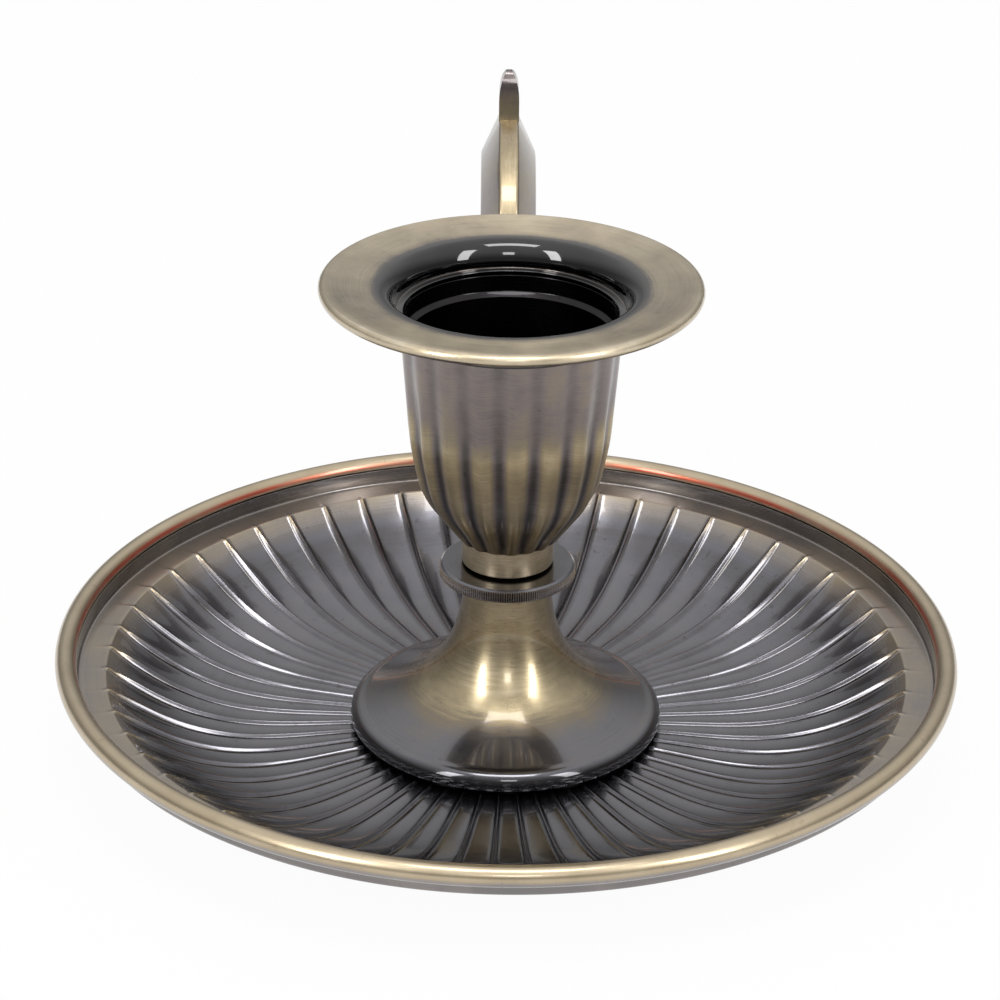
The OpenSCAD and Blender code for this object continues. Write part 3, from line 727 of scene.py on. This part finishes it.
lug_y = WALL_R - 0.06
over_z = RIM_Z + 1.4
out_y = DISH_R + 0.84
CLASP_W = 11.0
clasp_outline = rounded([(lug_y - 4.4, SHELF_Z, 0.2), (lug_y - 4.4, over_z - 1.3, 0.3), (lug_y - 3.1, over_z, 0.4),
                         (out_y - 0.7, over_z, 0.3), (out_y, over_z - 0.7, 0.3), (out_y, bead[1], 0.1),
                         (lug_y, bead[1]), (lug_y, SHELF_Z, 0.1)], 3)
clasp = prism("clasp", [at(-CLASP_W / 2, y, z) for y, z in clasp_outline], Vector((CLASP_W * MM, 0, 0)))
combine(loop, clasp, "UNION")

# the spur: a thin horn whose side view and front view are cut from each other
loop_top = loop_z + LOOP_R
SPUR_W = 2.6
spur_side = rounded([(-0.2, -0.9), (0.3, 1.6, 0.9), (0.7, SPUR_H - 1.2, 0.8), (1.5, SPUR_H, 0.5), (2.6, SPUR_H - 0.1, 0.5),
                     (3.6, SPUR_H - 1.4, 0.8), (4.3, 2.1, 1.2), (6.5, -2.3)], 3)
spur = prism("spur", [at(-SPUR_W / 2, loop_y + y, loop_top + z) for y, z in spur_side], Vector((SPUR_W * MM, 0, 0)))
tip = [(x * MM, z) for x, z in arc((0, 0), SPUR_W / 2, 0, 180, 14)]
spur_front = [at(SPUR_W / 2 + 0.3, -20, loop_top - 2.5)] + [
    at(x / MM, -20, loop_top + SPUR_H - 3.9 + 3 * z) for x, z in tip] + [at(-SPUR_W / 2 - 0.3, -20, loop_top - 2.5)]
front_tool = prism("spur_front", [Vector((p.x, AXIS.y + (loop_y - 20) * MM, p.z)) for p in spur_front],
                   Vector((0, 40 * MM, 0)))
combine(spur, front_tool, "INTERSECT")
combine(loop, spur, "UNION")

# the groove that the rim's bead lies in
groove_corners = [(r, z) for r, z in arc(bead, BEAD_R + 0.06, 0, 345, 23)]
groove = turned("groove", groove_corners, 360)
combine(loop, groove, "DIFFERENCE")


def loop_tone(piece):
    """A painted highlight on the narrow facets and painted shade on the sloping ones; darker towards the table and in
    the hole.
    """
    tone = piece.data.attributes.new("tone", "FLOAT", "POINT")
    for vertex in piece.data.vertices:
        x = abs(vertex.co.x) / MM
        y, z = (vertex.co.y - AXIS.y) / MM - loop_y, vertex.co.z / MM - loop_z
        # painted highlight on the narrow front facet and painted shade on the sloping sides, lighter at their outer
        # edges
        value = 0.72 - 0.58 * ease(x, FACET_W / 2 - 0.1, FACET_W / 2 + 0.5) + 0.16 * ease(x, 1.8, half)
        value += 0.2 * ease(x, half - 0.5, half - 0.2) * (math.hypot(y, z) > FINGER_R + 0.4)
        if z > LOOP_R + 0.3:
            # painted highlight: the spur's front is painted bright, darker to its sides and towards its top
            value = 1.0 - 0.55 * ease(z, LOOP_R + 3.2, LOOP_R + 5.4) - 0.4 * ease(x, 0.85, 1.2)
        tone.data[vertex.index].value = value - 0.2 * ease(-z, 5, 20)


loop_tone(loop)
finish_piece(loop, "base", ["finger_loop"], loop_finish, sharp=28)

# %% [markdown]
# ## The stud
# The threaded stud is hidden until the cup is screwed up off the ring, and then its thread shows. One
# tooth of the thread is drawn and the Screw modifier winds it up the axis, one pitch to each turn.
# The ends are cut flat with a bisect, which also caps them.

# %% Stud
low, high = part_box("stud")
PITCH = 0.8
STUD_R = (high[0] - low[0]) / 2 / MM
THREAD = 0.45
stud_low, stud_high = low[2] / MM, high[2] / MM
turns = math.ceil((stud_high - stud_low) / PITCH) + 2
tooth = [(STUD_R - THREAD, 0), (STUD_R - THREAD, 0.12), (STUD_R, 0.36), (STUD_R, 0.52), (STUD_R - THREAD, 0.76), (STUD_R - THREAD, PITCH)]
stud = draw("stud_threaded", [AXIS + Vector((r * MM, 0, (stud_low - PITCH + z) * MM)) for r, z in tooth])
bpy.ops.object.mode_set(mode="OBJECT")
stud.data.transform(Matrix.Translation(-AXIS) @ stud.matrix_world)
stud.matrix_world = Matrix.Identity(4)
apply_modifier(stud, "SCREW", angle=math.tau, screw_offset=PITCH * MM, iterations=turns, steps=28, render_steps=28,
               use_merge_vertices=True, merge_threshold=0.001 * MM)
stud.data.transform(Matrix.Translation(AXIS))
activate(stud)
bpy.ops.object.mode_set(mode="EDIT")
bpy.ops.mesh.select_all(action="SELECT")
bpy.ops.mesh.remove_doubles(threshold=0.001 * MM)
for height, outer in ((stud_high, 1), (stud_low, -1)):
    bpy.ops.mesh.select_all(action="SELECT")
    bpy.ops.mesh.bisect(plane_co=AXIS + Vector((0, 0, height * MM)), plane_no=(0, 0, outer), use_fill=True,
                        clear_outer=True)
settle(stud)

# %% [markdown]
# ## Plated steel and bare wire
# The stud, the nut and the washers are zinc-plated steel: cool grey, slightly cloudy, with fine turning
# marks. The two small screws are turned brass, and the wire inside the rim is drawn copper-coloured.


# %% Plain metals
def plain_metal(name, dark, light, rough, line_mm):
    """Plated or drawn metal: two shades in soft clouds, and fine marks of the tool."""
    material, tree, shader = new_material(name)
    place = add(tree, "TexCoord", {}).outputs["Object"]
    centred = add(tree, "Mapping", {"Vector": place, "Location": -AXIS}).outputs["Vector"]
    clouds = add(tree, "TexNoise", {"Vector": centred, "Scale": 900.0, "Detail": 4.0, "Roughness": 0.6}).outputs["Fac"]
    marks = add(tree, "TexNoise", {"Vector": centred, "Scale": 1 / (line_mm * MM), "Detail": 2.0}).outputs["Fac"]
    tree.links.new(ramp(tree, clouds, [(0.3, dark), (0.7, light)]), shader.inputs["Base Color"])
    gloss = add(tree, "MapRange", {"Value": clouds, "From Min": 0.3, "From Max": 0.7, "To Min": rough - 0.06,
                                   "To Max": rough + 0.08}).outputs["Result"]
    tree.links.new(gloss, shader.inputs["Roughness"])
    bump = add(tree, "Bump", {"Height": marks, "Strength": 0.2, "Distance": 0.01 * MM})
    tree.links.new(bump.outputs["Normal"], shader.inputs["Normal"])
    shader.inputs["Metallic"].default_value = 1.0
    return material


zinc = plain_metal("zinc_plated_steel", "#85837f", "#b3b0a8", 0.32, 0.15)
screw_brass = plain_metal("turned_screw_brass", "#8f7a4c", "#bfa56c", 0.3, 0.1)
copper = plain_metal("drawn_copper_wire", "#9a4a2c", "#c8714a", 0.3, 0.2)
dark_washer = plain_metal("blackened_thin_washer", "#1f1c18", "#3a352d", 0.35, 0.12)
finish_piece(stud, "base", ["stud"], zinc, sharp=20)

kept_nodes = {"rim_wire": copper, "flat_washer": zinc, "split_washer": zinc, "hex_nut": zinc,
              "handle_screws": screw_brass, "cup_washer": dark_washer}
for name, material in kept_nodes.items():
    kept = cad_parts[name]
    for material_slot in kept.material_slots:
        material_slot.material = material
    print("CAD node", name, "gets", material.name)

# %% [markdown]
# ## Floor, light and camera
# A photographer would stand the holder on a white sweep between two tall strip lamps. Metal shows
# what is round it, so the world is what it mirrors: white above and behind, and a dimmer room
# towards the floor line. The floor is white to the camera and keeps a soft shadow.

# %% Floor
deselect_all()
bpy.ops.mesh.primitive_circle_add(vertices=96, radius=2.5, fill_type="NGON", location=(0, 0, 0))
floor = bpy.context.object
floor.name = "floor"
material, tree, shader = new_material("white_paper_sweep")
output = tree.nodes["Material Output"]
shader.inputs["Base Color"].default_value = colour("#d9d9d9")
shader.inputs["Roughness"].default_value = 0.9
glow = add(tree, "Emission", {"Color": (1, 1, 1, 1), "Strength": 1.0})
path = add(tree, "LightPath", {}).outputs
mirror_or_eye = add(tree, "Math", {0: path["Is Camera Ray"], 1: path["Is Glossy Ray"]}, operation="MAXIMUM").outputs["Value"]
white_share = add(tree, "Math", {0: mirror_or_eye, 1: 0.96}, operation="MULTIPLY").outputs["Value"]
mixed = add(tree, "MixShader", {"Fac": white_share, 1: shader.outputs["BSDF"], 2: glow.outputs["Emission"]})
tree.links.new(mixed.outputs["Shader"], output.inputs["Surface"])
floor.data.materials.append(material)

# %% World and lamps
world = bpy.data.worlds.new("studio")
bpy.context.scene.world = world
world.use_nodes = True
tree = world.node_tree
tree.nodes.clear()
direction = add(tree, "TexCoord", {}).outputs["Generated"]
up = add(tree, "SeparateXYZ", {"Vector": direction}).outputs["Z"]
room = ramp(tree, up, [(0.0, "#7d7d7d"), (0.25, "#8a8a8a"), (0.6, "#e6e6e6"), (1.0, "#ffffff")])
path = add(tree, "LightPath", {}).outputs
seen = add(tree, "Mix", {0: path["Is Camera Ray"], "A": room, "B": (1, 1, 1, 1)}, data_type="RGBA").outputs["Result"]
back = add(tree, "Background", {"Color": seen, "Strength": 1.0})
ground = add(tree, "OutputWorld", {"Surface": back.outputs["Background"]})


def softbox(name, place, size, power):
    """A lit panel that faces the holder: its place in metres, its width and height, and its watts."""
    deselect_all()
    bpy.ops.object.light_add(type="AREA", location=place)
    lamp = bpy.context.object
    lamp.name = lamp.data.name = name
    lamp.data.shape = "RECTANGLE"
    lamp.data.size, lamp.data.size_y = size
    lamp.data.energy = power
    lamp.rotation_euler = (Vector((0, 0, 0.03)) - lamp.location).to_track_quat("-Z", "Y").to_euler()


softbox("strip_left", (-0.4, -0.42, 0.42), (0.13, 0.42), 1.5)
softbox("strip_right", (0.42, -0.38, 0.4), (0.13, 0.42), 1.3)
softbox("overhead", (0.0, -0.16, 0.62), (0.3, 0.14), 0.9)
softbox("front", (0.03, -0.6, 0.4), (0.12, 0.12), 0.3)

# %% Camera
# The camera was worked out from the ellipses of the rim and the pan: where it stands about the
# candle's axis, how far it looks down and leans, and its focal length for a 1000-pixel frame.
CAMERA_AT = (0.0, -346.7, 196.1)
PITCH_DEG, YAW_DEG, ROLL_DEG, ORBIT_DEG = 25.66, -0.16, 0.78, -0.58
FOCAL_PX, FRAME_PX, SENSOR_MM = 3351.0, 1000.0, 36.0
pitch, yaw, roll, orbit = (math.radians(a) for a in (PITCH_DEG, YAW_DEG, ROLL_DEG, ORBIT_DEG))
ahead = Vector((math.sin(yaw) * math.cos(pitch), math.cos(yaw) * math.cos(pitch), -math.sin(pitch)))
level = Vector((math.cos(yaw), -math.sin(yaw), 0))
upright = level.cross(ahead)
right = math.cos(roll) * level + math.sin(roll) * upright
top = -math.sin(roll) * level + math.cos(roll) * upright
swing = Matrix.Rotation(orbit, 4, "Z")
eye = AXIS + swing @ (Vector(CAMERA_AT) * MM)
camera_data = bpy.data.cameras.new("camera")
camera_data.sensor_width = SENSOR_MM
camera_data.lens = SENSOR_MM * FOCAL_PX / FRAME_PX
camera_data.clip_start, camera_data.clip_end = 0.01, 20
camera = bpy.data.objects.new("camera", camera_data)
bpy.context.scene.collection.objects.link(camera)
pose = Matrix((right, top, -ahead)).transposed().to_4x4()
camera.matrix_world = Matrix.Translation(eye) @ swing @ pose
bpy.context.scene.camera = camera
bpy.context.scene.view_settings.view_transform = "Standard"
print("camera", [round(v, 4) for v in eye], "lens", round(camera_data.lens, 2))
